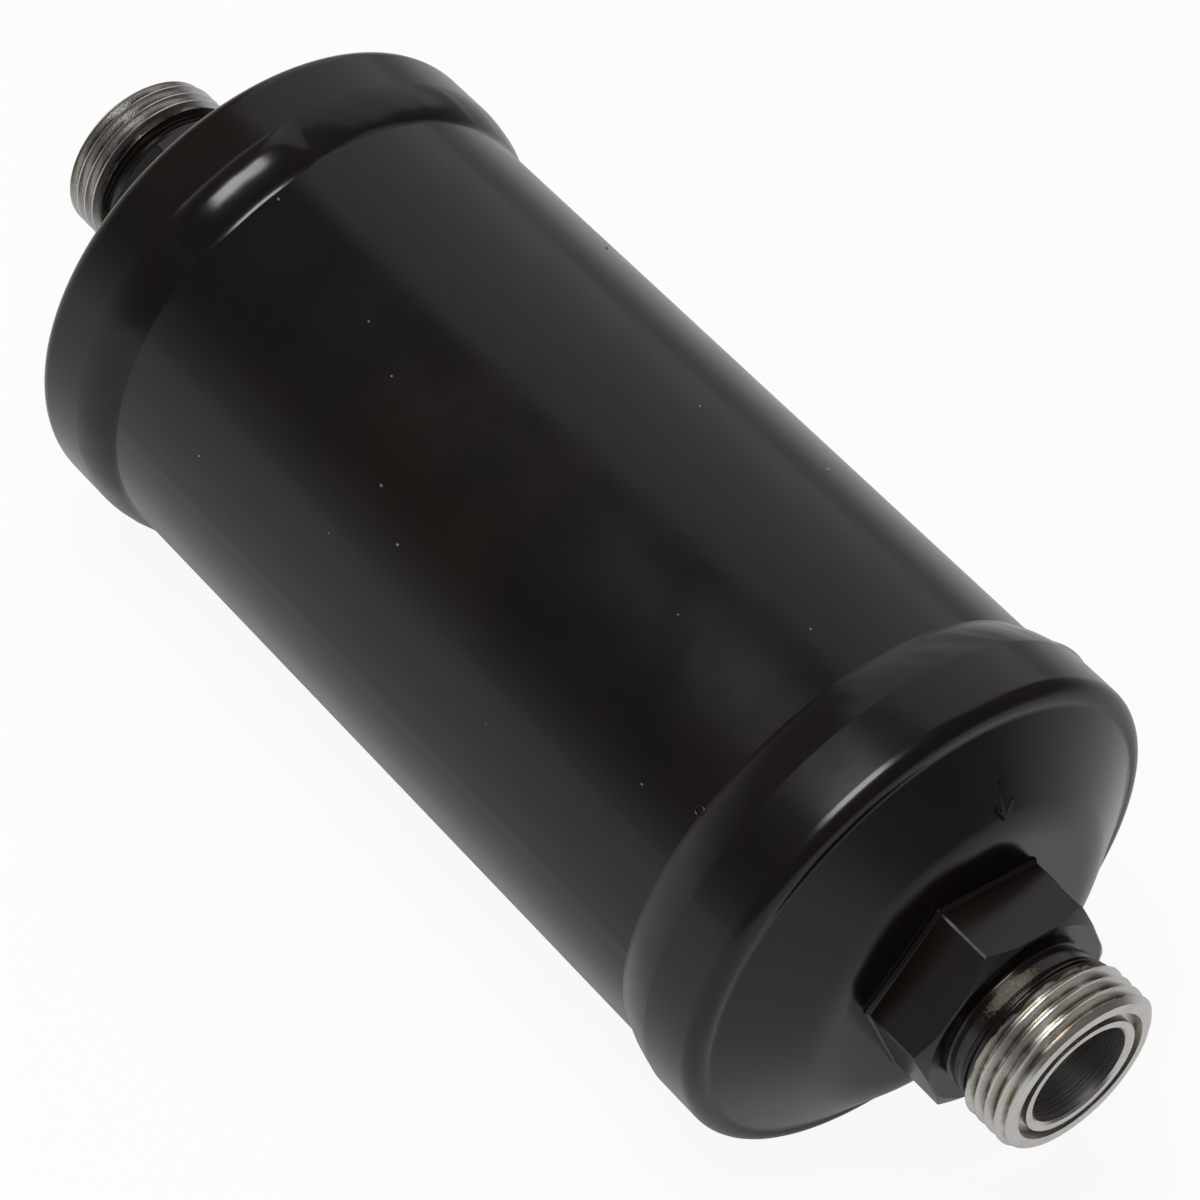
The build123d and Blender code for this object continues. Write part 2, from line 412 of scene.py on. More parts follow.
inlet_seed = 0.6
outlet_seed = 2.3
weld_crease = 50
weld_peel = 1.6
# Each wave round the bead: how many, how high, how its start shifts, how it slants.
bead_waves = ((23, 1.0, 1.0, 0), (37, 0.7, 2.1, 5), (61, 0.5, -1.0, 9))
wave_peak = sum(share for count, share, shift, slant in bead_waves)


def arc_through(start, middle, end, steps):
    """Points of the arc that runs from start through middle to end."""
    start, middle, end = Vector(start), Vector(middle), Vector(end)
    first, second = middle - start, end - start
    turn = 2 * (first.x * second.y - first.y * second.x)
    centre = start + Vector(
        (
            (second.y * first.length_squared - first.y * second.length_squared) / turn,
            (first.x * second.length_squared - second.x * first.length_squared) / turn,
        )
    )
    radius = (start - centre).length
    begin = math.atan2(start.y - centre.y, start.x - centre.x)
    finish = math.atan2(end.y - centre.y, end.x - centre.x)
    angles = [begin + (finish - begin) * step / steps for step in range(steps + 1)]
    return [
        (centre.x + radius * math.cos(angle), centre.y + radius * math.sin(angle))
        for angle in angles
    ]


def seam_bead(name, back_radius, lap_angle, lap_height, step, seed):
    """A weld ring at the inlet, with its lap centred at this angle from +Y towards +Z."""
    back_reach = skirt_reach + weld_back_share * weld_length
    crown = arc_through(
        (skirt_reach, skirt_radius),
        (back_reach, back_radius),
        (weld_end_reach, weld_toe_radius),
        bead_steps,
    )
    foot = [
        (weld_end_reach + weld_fillet, shell_radius),
        (weld_end_reach + weld_fillet, weld_root_radius),
        (skirt_reach, weld_root_radius),
    ]
    bead = turned_ring(name, crown + foot)
    for vertex in bead.data.vertices:
        radius = math.hypot(vertex.co.y, vertex.co.z)
        height = (radius - weld_root_radius) / (skirt_radius - weld_root_radius)
        along = (vertex.co.x - at_inlet(skirt_reach)) / weld_length
        angle = math.atan2(vertex.co.z, vertex.co.y)
        away = (angle - lap_angle + math.pi) % (2 * math.pi) - math.pi
        swell = max(0.0, 1 - (away / lap_half_spread) ** lap_flatness) ** lap_fade
        vertex.co.x += lap_toe * swell * min(1.0, along) ** lap_toe_bend
        if height < edge_share:
            continue
        waves = sum(
            share * math.sin(count * angle + shift * seed + along * slant)
            for count, share, shift, slant in bead_waves
        )
        unevenness = waves / wave_peak
        back = math.sin(math.pi * min(1.0, max(0.0, along))) ** crown_roundness
        rise = lap_height * swell - uneven_height * (uneven_level - unevenness)
        scale = (radius + rise * back - step * height) / radius
        vertex.co.y *= scale
        vertex.co.z *= scale
        if along < edge_share and step > 0:
            vertex.co.x -= edge_wander * (edge_level + unevenness)
    smooth_by_angle(bead, weld_crease)
    return bead


inlet_bead = seam_bead(
    "inlet_seam_bead",
    inlet_back_radius,
    inlet_lap_angle,
    inlet_lap_height,
    inlet_step,
    inlet_seed,
)
outlet_bead = seam_bead(
    "outlet_seam_bead",
    outlet_back_radius,
    outlet_lap_angle,
    outlet_lap_height,
    outlet_step,
    outlet_seed,
)
half_turn_about_z = Matrix.Rotation(math.pi, 4, "Z")
outlet_bead.data.transform(half_turn_about_z)
weld_material = satin_black("satin_black_welds", weld_peel)
for bead, node in ((inlet_bead, "inlet_seam_weld"), (outlet_bead, "outlet_seam_weld")):
    dress(bead, weld_material)
    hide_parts(node)


# Fittings: one at each end, turned from hexagon bar, with a face-seal groove, a
# 1-14 thread, two fine ridges on the neck and a turned bore. The thread, face and
# bore are bare steel, masked when the rest was painted.
thread_radius = 12.7 * mm
thread_pitch = 25.4 / 14 * mm
thread_end_reach = 7.9 * mm
neck_radius = 11.6 * mm
hex_front_reach = 12.1 * mm
hex_flat_radius = 14.25 * mm
hexagon_sides = 6
hex_corner_radius = hex_flat_radius / math.cos(math.radians(30))
hex_chamfer_angle = math.radians(30)
hex_edge_bevel = 0.22 * mm
hex_edge_turn = math.radians(50)
hex_inside_radius = neck_radius - 1 * mm
bore_radius = 7.7 * mm
fitting_end_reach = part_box("inlet_fitting")[1].x - inlet_face_x
spigot_radius = 11.0 * mm
groove_inner_radius = 9.0 * mm
groove_outer_radius = 10.3 * mm
groove_depth = 1.3 * mm
lead_chamfer = 0.9 * mm
relief_chamfer = 0.7 * mm
bore_edge = 0.3 * mm
neck_fillet = 0.4 * mm
neck_fillet_steps = 5
crest_flat = thread_pitch / 8
root_flat = thread_pitch / 8
flank_slope = math.tan(math.radians(30))
cutter_overshoot = 0.08 * mm
cutter_runout = 1.2 * mm
cutter_start_reach = -1.5 * thread_pitch
cutter_merge_gap = 1e-7
thread_steps = 96
turned_steps = 128
fitting_crease = 28
bare_steel = (0.64, 0.625, 0.60, 1.0)
stained_steel = (0.22, 0.19, 0.14, 1.0)
patch_brown = (0.050, 0.037, 0.022, 1.0)
patch_pale = (0.14, 0.108, 0.07, 1.0)
patch_roughness = 0.55
worn_steel = (0.45, 0.41, 0.35, 1.0)
steel_roughness = (0.22, 0.34)
blotch_size = 3 * mm
tool_mark = 0.22 * mm
tool_mark_height = 0.006 * mm
bore_mark_height = 0.022 * mm
bore_skin = 0.05 * mm
stain_depths = (0.45 * mm, 1.1 * mm)
stain_rises = (0.9 * mm, 3.0 * mm)
stain_reaches = (0.3 * mm, 1.2 * mm)
stain_levels = (0.25, 0.6)
worn_levels = (0.5, 0.75)
worn_share = 0.45
paint_end_reach = 7.1 * mm
paint_end_wander = 0.18 * mm
paint_edge = 0.15 * mm
paint_rises = (0.3 * mm, 0.6 * mm)
wander_size = 4 * mm
worn_patch_angle = math.radians(60)
worn_patch_reach = 10.0 * mm
worn_patch_length = 1.0 * mm
worn_patch_half_width = 3.8 * mm
worn_edges = (1.25, 0.75)
patch_edges = (1.8, 1.3)
neck_rises = (0.3 * mm, 0.1 * mm)
grit_size = 0.35 * mm
grit_levels = (0.45, 0.7)
flake_depth = 0.35
ridge_height = 0.40 * mm
ridge_run = 0.26 * mm
ridge_gap = 0.2 * mm
ridge_spacing = 2.4
ridge_fade = 0.4
undercut_reach = 10.95 * mm
undercut_depth = 0.5 * mm
undercut_run = 0.25 * mm
step_inside_hexagon = 1.2 * mm
step_length = 2 * mm


def thread_cutter(name):
    """The helical groove of the thread, as a solid to cut from the turned blank."""
    outside = thread_radius + cutter_overshoot
    depth = (thread_pitch - crest_flat - root_flat) / 2 / flank_slope
    half_mouth = (thread_pitch - crest_flat) / 2 + cutter_overshoot * flank_slope
    half_root = root_flat / 2
    bpy.ops.object.select_all(action="DESELECT")
    bpy.ops.mesh.primitive_plane_add(size=1, location=(0, 0, 0))
    cutter = bpy.context.object
    cutter.name = name
    corners = (
        (-half_mouth, outside),
        (half_mouth, outside),
        (-half_root, thread_radius - depth),
        (half_root, thread_radius - depth),
    )
    order = sorted(cutter.data.vertices, key=lambda v: (-v.co.y, v.co.x))
    for vertex, (along, radius) in zip(order, corners):
        vertex.co = (at_inlet(cutter_start_reach + along), radius, 0)
    turns = math.ceil((thread_end_reach + cutter_runout - cutter_start_reach) / thread_pitch)
    finish_by(
        cutter,
        "SCREW",
        axis="X",
        angle=2 * math.pi,
        screw_offset=thread_pitch,
        iterations=turns,
        steps=thread_steps,
        render_steps=thread_steps,
        use_merge_vertices=True,
        merge_threshold=cutter_merge_gap,
    )
    bpy.ops.object.mode_set(mode="EDIT")
    bpy.ops.mesh.select_all(action="DESELECT")
    bpy.ops.mesh.select_mode(type="EDGE")
    bpy.ops.mesh.select_non_manifold()
    bpy.ops.mesh.edge_face_add()
    bpy.ops.mesh.select_all(action="SELECT")
    bpy.ops.mesh.normals_make_consistent(inside=False)
    bpy.ops.object.mode_set(mode="OBJECT")
    return cutter


def turned_fitting(name):
    """The inlet's fitting: a turned blank with a collar for the hexagon, and the thread cut in it.
    """
    outline = [
        (0.0, bore_radius + bore_edge),
        (0.0, groove_inner_radius),
        (groove_depth, groove_inner_radius),
        (groove_depth, groove_outer_radius),
        (0.0, groove_outer_radius),
        (0.0, thread_radius - lead_chamfer),
        (lead_chamfer, thread_radius),
        (thread_end_reach - relief_chamfer, thread_radius),
        (thread_end_reach, neck_radius),
    ]
    for ridge in (0, 1):
        foot = thread_end_reach + ridge_gap + ridge * ridge_run * ridge_spacing
        outline += [
            (foot, neck_radius),
            (foot + ridge_run, neck_radius + ridge_height * (1 - ridge_fade * ridge)),
            (foot + ridge_run * 2, neck_radius),
        ]
    outline += [(undercut_reach - undercut_run, neck_radius)]
    outline += rounded(
        [
            (undercut_reach, neck_radius - undercut_depth),
            (hex_front_reach, neck_radius - undercut_depth),
            (hex_front_reach, neck_radius + step_inside_hexagon),
        ],
        (neck_fillet,),
        neck_fillet_steps,
    )
    outline += [
        (hex_front_reach + step_length, neck_radius + step_inside_hexagon),
        (hex_front_reach + step_length, spigot_radius),
        (fitting_end_reach, spigot_radius),
        (fitting_end_reach, bore_radius),
        (bore_edge, bore_radius),
    ]
    blank = turned_ring(name, outline, turned_steps)
    cutter = thread_cutter("thread_cutter")
    finish_by(blank, "BOOLEAN", object=cutter, operation="DIFFERENCE", solver="EXACT")
    bpy.data.objects.remove(cutter)
    return blank


def turn_corner_to_y(piece):
    """A six-sided piece is turned about X until one of its corners lies on +Y."""
    corner_angle = max(math.atan2(v.co.z, v.co.y) for v in piece.data.vertices)
    piece.data.transform(Matrix.Rotation(-corner_angle, 4, "X"))


def hexagon_nut(name):
    """The six-sided part of the fitting, its front corners turned off at 30 degrees."""
    bar_length = head_face_reach - hex_front_reach
    bpy.ops.object.select_all(action="DESELECT")
    bpy.ops.mesh.primitive_cylinder_add(
        vertices=hexagon_sides,
        radius=hex_corner_radius,
        depth=bar_length,
        location=(at_inlet(hex_front_reach + bar_length / 2), 0, 0),
        rotation=(0, math.pi / 2, 0),
    )
    bar = bpy.context.object
    bar.name = name
    bpy.ops.object.transform_apply(location=True, rotation=True, scale=True)
    turn_corner_to_y(bar)
    finish_by(
        bar,
        "BEVEL",
        width=hex_edge_bevel,
        segments=1,
        limit_method="ANGLE",
        angle_limit=hex_edge_turn,
    )
    corner_height = hex_corner_radius - hex_flat_radius
    chamfer_run = corner_height * math.tan(hex_chamfer_angle)
    envelope_radius = hex_flat_radius + 2 * corner_height
    envelope = turned_ring(
        "hexagon_envelope",
        [
            (hex_front_reach, hex_inside_radius),
            (hex_front_reach, hex_flat_radius),
            (hex_front_reach + chamfer_run * 2, envelope_radius),
            (head_face_reach, envelope_radius),
            (head_face_reach, hex_inside_radius),
        ],
        turned_steps,
    )
    finish_by(bar, "BOOLEAN", object=envelope, operation="INTERSECT", solver="EXACT")
    bpy.data.objects.remove(envelope)
    return bar


def mix_value(tree, share, first, second):
    """Two values mixed by a share from 0 to 1."""
    change = math_node(tree, "SUBTRACT", second, first)
    return math_node(tree, "ADD", first, math_node(tree, "MULTIPLY", share, change))


def reach_and_radius(tree, place):
    """How far a point is from its own end's sealing face, and from the axis."""
    axes = shader_node(tree, "ShaderNodeSeparateXYZ", {"Vector": place})
    end_distance = math_node(tree, "ABSOLUTE", axes.outputs["X"])
    reach = math_node(tree, "SUBTRACT", -inlet_face_x, end_distance)
    square = math_node(tree, "MULTIPLY", axes.outputs["Y"], axes.outputs["Y"])
    other_square = math_node(tree, "MULTIPLY", axes.outputs["Z"], axes.outputs["Z"])
    radius = math_node(tree, "SQRT", math_node(tree, "ADD", square, other_square))
    return reach, radius


def turned_steel(tree, place, reach, radius):
    """Colour, roughness and normal of turned steel, stained between the threads."""
    turning = shader_node(tree, "ShaderNodeCombineXYZ", {"X": reach, "Y": radius})
    marks = noise(tree, turning.outputs["Vector"], tool_mark, 3.0)
    blotches = noise(tree, place, blotch_size, 4.0)
    stain = math_node(
        tree,
        "MULTIPLY",
        spread(tree, radius, *[thread_radius - depth for depth in stain_depths]),
        spread(tree, radius, *[bore_radius + rise for rise in stain_rises]),
    )
    stain = math_node(tree, "MULTIPLY", stain, spread(tree, blotches, *stain_levels))
    stain = math_node(tree, "MULTIPLY", stain, spread(tree, reach, *stain_reaches))
    colour = mix_colour(tree, stain, bare_steel, stained_steel)
    handled = spread(tree, blotches, *worn_levels, 0.0, worn_share)
    colour = mix_colour(tree, handled, colour, worn_steel)
    roughness = spread(tree, marks, *noise_levels, *steel_roughness)
    in_bore = math_node(tree, "LESS_THAN", radius, bore_radius + bore_skin)
    bore_marks = math_node(tree, "MULTIPLY", marks, in_bore)
    normal = height_bump(tree, marks, tool_mark_height)
    normal = height_bump(tree, bore_marks, bore_mark_height, normal)
    return colour, roughness, normal


def paint_cover(tree, place, reach, radius):
    """1 where the paint covers the neck and hexagon, 0 on the stud and in the bore."""
    wander = spread(tree, noise(tree, place, wander_size), *noise_levels, -1.0, 1.0)
    paint_start = math_node(tree, "MULTIPLY", wander, paint_end_wander)
    past_edge = math_node(tree, "SUBTRACT", reach, paint_start)
    inwards = spread(tree, past_edge, paint_end_reach - paint_edge, paint_end_reach + paint_edge)
    outside = spread(tree, radius, *[bore_radius + rise for rise in paint_rises])
    return math_node(tree, "MULTIPLY", inwards, outside)


def worn_patch(tree, place, radius):
    """Where the neck's paint is worn off, where the stain round it lies, and its colour."""
    centre = (
        at_inlet(worn_patch_reach),
        neck_radius * math.cos(worn_patch_angle),
        neck_radius * math.sin(worn_patch_angle),
    )
    sizes = (worn_patch_length, worn_patch_half_width, worn_patch_half_width)
    to_patch = shader_node(
        tree,
        "ShaderNodeMapping",
        {
            "Vector": place,
            "Scale": [1 / size for size in sizes],
            "Location": [-middle / size for middle, size in zip(centre, sizes)],
        },
    ).outputs["Vector"]
    distance = shader_node(
        tree, "ShaderNodeVectorMath", {"Vector": to_patch}, operation="LENGTH"
    ).outputs["Value"]
    grit = noise(tree, place, grit_size, 5.0)
    flaking = spread(tree, grit, *noise_levels, -flake_depth, flake_depth)
    on_neck = spread(tree, radius, *[neck_radius + rise for rise in neck_rises])
    worn = spread(tree, math_node(tree, "ADD", distance, flaking), *worn_edges)
    worn = math_node(tree, "MULTIPLY", worn, on_neck)
    stained = math_node(tree, "MULTIPLY", spread(tree, distance, *patch_edges), on_neck)
    colour = mix_colour(tree, spread(tree, grit, *grit_levels), patch_brown, patch_pale)
    return worn, stained, colour


def bare_and_painted(name):
    """Bare steel on the thread, face and bore, with paint from the neck inwards."""
    material, tree, place, surface = start_material(name)
    reach, radius = reach_and_radius(tree, place)
    steel, steel_gloss, normal = turned_steel(tree, place, reach, radius)
    # The paint is thin here, and the turned marks show through it.
    paint, paint_gloss = paint_layers(tree, place)[:2]
    worn, stained, patch_colour = worn_patch(tree, place, radius)
    covered = paint_cover(tree, place, reach, radius)
    covered = math_node(tree, "MULTIPLY", covered, math_node(tree, "SUBTRACT", 1.0, worn))
    steel = mix_colour(tree, stained, steel, patch_colour)
    steel_gloss = mix_value(tree, stained, steel_gloss, patch_roughness)
    bare = math_node(tree, "SUBTRACT", 1.0, math_node(tree, "MAXIMUM", covered, stained))
    gloss = mix_value(tree, covered, steel_gloss, paint_gloss)
    feed(tree, surface.inputs["Base Color"], mix_colour(tree, covered, steel, paint))
    feed(tree, surface.inputs["Metallic"], bare)
    feed(tree, surface.inputs["Roughness"], gloss)
    feed(tree, surface.inputs["Normal"], normal)
    return material


def twin_at_outlet(piece, name):
    """A copy of the inlet's piece, turned half round to the outlet."""
    select_only(piece)
    bpy.ops.object.duplicate()
    twin = bpy.context.object
    twin.name = name
    twin.data.transform(half_turn_about_z)
    return twin


inlet_fitting = turned_fitting("inlet_face_seal_fitting")
inlet_hexagon = hexagon_nut("inlet_hexagon")
finish_by(inlet_fitting, "BOOLEAN", object=inlet_hexagon, operation="UNION", solver="EXACT")
bpy.data.objects.remove(inlet_hexagon)
smooth_by_angle(inlet_fitting, fitting_crease)
outlet_fitting = twin_at_outlet(inlet_fitting, "outlet_face_seal_fitting")
fitting_material = bare_and_painted("bare_and_painted_steel")
for fitting, node in ((inlet_fitting, "inlet_fitting"), (outlet_fitting, "outlet_fitting")):
    dress(fitting, fitting_material)
    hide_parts(node)


# Braze rings: the small sloped fillet of brazing metal that fixes each hexagon to
# its head. It is drawn into the joint while molten, and is painted with the rest.
braze_height = 0.75 * mm
braze_spread = 0.45 * mm
braze_inside = 1.6 * mm
braze_lip = 0.02 * mm
braze_bevel = 0.15 * mm
braze_crease = 40
braze_peel = 2.0
inlet_fillet = turned_ring(
    "inlet_braze_fillet",
    [
        (head_face_reach, hex_corner_radius - braze_inside),
        (head_face_reach - braze_height, hex_corner_radius - braze_inside),
        (head_face_reach - braze_height, hex_corner_radius + braze_lip),
        (head_face_reach, hex_corner_radius + braze_spread),
    ],
    hexagon_sides,
)
turn_corner_to_y(inlet_fillet)
finish_by(
    inlet_fillet,
    "BEVEL",
    width=braze_bevel,
    segments=2,
    limit_method="ANGLE",
    angle_limit=math.radians(braze_crease),
)
smooth_by_angle(inlet_fillet, braze_crease)
outlet_fillet = twin_at_outlet(inlet_fillet, "outlet_braze_fillet")
braze_material = satin_black("satin_black_braze", braze_peel)
for fillet, node in ((inlet_fillet, "inlet_braze_ring"), (outlet_fillet, "outlet_braze_ring")):
    dress(fillet, braze_material)
    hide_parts(node)


# Paint faults: a small crater by the inlet's weld, and grains of pale dust that
# dried into the paint. Each is a raised spot on the tube.
crater_reach = 45.9 * mm
crater_angle = math.radians(37)
crater_radius = 0.62 * mm
crater_rim = 0.16 * mm
grain_radius = 0.24 * mm
grain_smallest = 0.7
grain_growth = 0.5
grain_variety = 2.4
grain_flatness = 0.75
grain_grey = (0.30, 0.29, 0.28, 1.0)
# Each grain's reach in from the inlet's face, in millimetres, and angle in degrees.
grain_places = (
    (54.6, 32.4), (53.8, 78.6), (153.6, 65.7), (129.5, 60.4), (158.8, 69.5), (120.9, 55.6),
    (111.0, 38.0), (103.8, 31.5), (113.9, 22.1), (66.7, 61.6), (92.0, 101.0), (77.0, 118.0),
    (139.0, 12.0), (98.0, -8.0), (128.0, 128.0), (87.0, 201.0), (118.0, 246.0), (70.0, 292.0),
)


def on_shell(reach, angle):
    """A point of the tube's outside at this reach and angle from +Y towards +Z."""
    return (at_inlet(reach), shell_radius * math.cos(angle), shell_radius * math.sin(angle))


bpy.ops.object.select_all(action="DESELECT")
bpy.ops.mesh.primitive_torus_add(
    major_radius=crater_radius,
    minor_radius=crater_rim,
    major_segments=28,
    minor_segments=10,
    location=on_shell(crater_reach, crater_angle),
    rotation=(crater_angle - math.pi / 2, 0, 0),
)
crater = bpy.context.object
crater.name = "paint_crater"
bpy.ops.object.transform_apply(location=True, rotation=True, scale=True)
bpy.ops.object.shade_smooth()
dress(crater, shell_material)
grains = []
for number, (reach, angle) in enumerate(grain_places):
    growth = grain_growth * math.sin(number * grain_variety) ** 2
    bpy.ops.object.select_all(action="DESELECT")
    bpy.ops.mesh.primitive_ico_sphere_add(
        subdivisions=2,
        radius=grain_radius * (grain_smallest + growth),
        location=on_shell(reach * mm, math.radians(angle)),
    )
    grain = bpy.context.object
    grain.scale = (1.0, grain_flatness, grain_flatness)
    bpy.ops.object.transform_apply(location=True, rotation=True, scale=True)
    bpy.ops.object.shade_smooth()
    grains.append(grain)
bpy.ops.object.select_all(action="DESELECT")
for grain in grains:
    grain.select_set(True)
bpy.context.view_layer.objects.active = grains[0]
bpy.ops.object.join()
grains[0].name = "dust_in_paint"
dust_material = satin_black("dusty_black_paint", tint=grain_grey)
dress(grains[0], dust_material)


# Plates and spring: the pressed plates and the coil of round wire that hold the
# drying bed tight. All are plain bright steel with rolling and drawing marks.
plate_steel = (0.50, 0.50, 0.49, 1.0)
plate_dull = (0.38, 0.37, 0.35, 1.0)
spring_grey = (0.33, 0.32, 0.31, 1.0)
spring_dark = (0.16, 0.15, 0.14, 1.0)
plate_mark = 0.5 * mm
plate_mark_stretch = 14
spring_mark = 0.35 * mm
spring_mark_stretch = 3
rolled_mark_height = 0.006 * mm
rolled_cloud_size = 12 * mm
rolled_roughness = (0.28, 0.46)


def rolled_steel(name, bright, dull, mark_size, stretch):
    """Bare steel with marks drawn out along Y."""
    material, tree, place, surface = start_material(name)
    drawn = shader_node(tree, "ShaderNodeMapping", {"Vector": place, "Scale": (1, 1 / stretch, 1)})
    marks = noise(tree, drawn.outputs["Vector"], mark_size, 4.0)
    clouds = noise(tree, place, rolled_cloud_size, 3.0)
    colour = mix_colour(tree, spread(tree, clouds, *noise_levels), bright, dull)
    roughness = spread(tree, marks, *noise_levels, *rolled_roughness)
    feed(tree, surface.inputs["Base Color"], colour)
    feed(tree, surface.inputs["Metallic"], 1.0)
    feed(tree, surface.inputs["Roughness"], roughness)
    feed(tree, surface.inputs["Normal"], height_bump(tree, marks, rolled_mark_height))
    return material


plate_material = rolled_steel(
    "rolled_plate_steel", plate_steel, plate_dull, plate_mark, plate_mark_stretch
)
for node in ("spring_retainer", "pressure_plate", "outlet_support_plate"):
    nodes[node].material_slots[0].material = plate_material
nodes["compression_spring"].material_slots[0].material = rolled_steel(
    "drawn_spring_wire", spring_grey, spring_dark, spring_mark, spring_mark_stretch
)


# Mesh screens: woven stainless wire cloth at each end of the bed, which keeps the
# beads in. The weave is plain, about two wires to the millimetre.
wire_steel = (0.60, 0.59, 0.57, 1.0)
# Painted shade: the dark colour laid in the openings between the wires.
painted_opening_shade = (0.03, 0.03, 0.03, 1.0)
weave_pitch = 0.9 * mm
wire_height = 0.12 * mm
wire_edges = (0.45, 0.75)
wire_gloss_levels = (0.4, 1.0)
wire_roughness = (0.6, 0.3)


def woven_wire(name):
    """A plain weave that runs along Y and Z, with painted shade in its openings."""
    material, tree, place, surface = start_material(name)
    axes = shader_node(tree, "ShaderNodeSeparateXYZ", {"Vector": place})
    waves = []
    for axis in ("Y", "Z"):
        turn = math_node(tree, "MULTIPLY", axes.outputs[axis], 2 * math.pi / weave_pitch)
        waves.append(math_node(tree, "ABSOLUTE", math_node(tree, "SINE", turn)))
    weave = math_node(tree, "MAXIMUM", *waves)
    wires = spread(tree, weave, *wire_edges)
    roughness = spread(tree, weave, *wire_gloss_levels, *wire_roughness)
    feed(tree, surface.inputs["Base Color"], mix_colour(tree, wires, painted_opening_shade, wire_steel))
    feed(tree, surface.inputs["Metallic"], 1.0)
    feed(tree, surface.inputs["Roughness"], roughness)
    feed(tree, surface.inputs["Normal"], height_bump(tree, weave, wire_height))
    return material


mesh_material = woven_wire("woven_wire_cloth")
for node in ("inlet_mesh_screen", "outlet_mesh_screen"):
    nodes[node].material_slots[0].material = mesh_material


# Fibre pads and drying bed: two felted glass-fibre pads, and between them the
# packed round beads that take the water out of what flows through.
fibre_white = (0.72, 0.70, 0.62, 1.0)
fibre_shade = (0.50, 0.47, 0.38, 1.0)
bead_tan = (0.55, 0.43, 0.30, 1.0)
bead_pale = (0.68, 0.57, 0.43, 1.0)
# Painted shade: the dark colour laid in the gaps between the beads.
painted_bead_gap_shade = (0.10, 0.07, 0.05, 1.0)
bead_size = 2.2 * mm
bead_height = 0.9 * mm
bead_roughness = 0.75
bead_shade_edges = (0.42, 0.62)
fibre_size = 0.6 * mm
fibre_flatness = 6
fibre_height = 0.2 * mm
fibre_roughness = 0.9
fibre_levels = (0.35, 0.6)


def felted_fibre(name):
    """Fine matted fibres, drawn out across the pad."""
    material, tree, place, surface = start_material(name)
    squash = (fibre_flatness, 1, 1)
    drawn = shader_node(tree, "ShaderNodeMapping", {"Vector": place, "Scale": squash})
    fibres = noise(tree, drawn.outputs["Vector"], fibre_size, 6.0)
    colour = mix_colour(tree, spread(tree, fibres, *fibre_levels), fibre_shade, fibre_white)
    feed(tree, surface.inputs["Base Color"], colour)
    feed(tree, surface.inputs["Roughness"], fibre_roughness)
    feed(tree, surface.inputs["Normal"], height_bump(tree, fibres, fibre_height))
    return material


def packed_beads(name):
    """Round beads packed together, each of its own tone, with painted shade in the gaps between
    them.
    """
    material, tree, place, surface = start_material(name)
    cells = shader_node(tree, "ShaderNodeTexVoronoi", {"Vector": place, "Scale": 1 / bead_size})
    shade = shader_node(tree, "ShaderNodeSeparateColor", {"Color": cells.outputs["Color"]})
    bead = mix_colour(tree, shade.outputs["Red"], bead_tan, bead_pale)
    # The gaps between the beads take the painted shade.
    gap_shade = spread(tree, cells.outputs["Distance"], *bead_shade_edges)
    roundness = math_node(tree, "SUBTRACT", 1.0, cells.outputs["Distance"])
    feed(tree, surface.inputs["Base Color"], mix_colour(tree, gap_shade, bead, painted_bead_gap_shade))
    feed(tree, surface.inputs["Roughness"], bead_roughness)
    feed(tree, surface.inputs["Normal"], height_bump(tree, roundness, bead_height))
    return material


fibre_material = felted_fibre("felted_glass_fibre")
for node in ("inlet_fibre_pad", "outlet_fibre_pad"):
    nodes[node].material_slots[0].material = fibre_material
nodes["desiccant_bed"].material_slots[0].material = packed_beads("drying_beads")


# Studio: a pale floor that runs out to a white background, a wide soft panel on
# the far side, a bright panel above, and a narrow lamp that shines into the bore.
floor_colour = (0.70, 0.70, 0.70, 1.0)
floor_glow = 0.93
mirrored_share = 0.35
mirrored_glow = 0.85
floor_size = 5.0
floor_drop = 0.02 * mm
white = (1, 1, 1, 1)
room_light = (0.60, 0.12)
room_edges = (-0.35, 0.25)
room_lean = 0.22
panel_aim = (0, 0, 0)
far_panel_place = (0.50, -0.56, 0.62)
far_panel_size = 1.0
far_panel_radiance = 0.50
top_panel_place = (-0.01, 0.36, 0.93)
top_panel_size = 0.50
top_panel_radiance = 10.5
bore_aim = Vector((inlet_face_x, 0, 0))
bore_lamp_direction = Vector((-0.47, 0.31, 0.83))
bore_lamp_distance = 0.25
bore_lamp_energy = 7.0
bore_lamp_cone = math.radians(2.2)
bore_lamp_radius = 0.008


def floor_finish(name):
    """Matt and pale, but white to the camera and even in what the paint mirrors."""
    material = bpy.data.materials.new(name)
    material.use_nodes = True
    tree = material.node_tree
    tree.nodes.clear()
    rays = shader_node(tree, "ShaderNodeLightPath").outputs
    to_camera = rays["Is Camera Ray"]
    mirrored = math_node(tree, "MAXIMUM", rays["Is Glossy Ray"], rays["Is Transmission Ray"])
    mirrored = math_node(tree, "MULTIPLY", mirrored, mirrored_share)
    seen = math_node(tree, "MULTIPLY", to_camera, floor_glow)
    share = math_node(tree, "MAXIMUM", seen, mirrored)
    strength = math_node(tree, "MAXIMUM", to_camera, mirrored_glow)
    matt = shader_node(tree, "ShaderNodeBsdfDiffuse", {"Color": floor_colour})
    glow = shader_node(tree, "ShaderNodeEmission", {"Color": white, "Strength": strength})
    mixed = {0: share, 1: matt.outputs["BSDF"], 2: glow.outputs["Emission"]}
    both = shader_node(tree, "ShaderNodeMixShader", mixed)
    shader_node(tree, "ShaderNodeOutputMaterial", {"Surface": both.outputs["Shader"]})
    return material


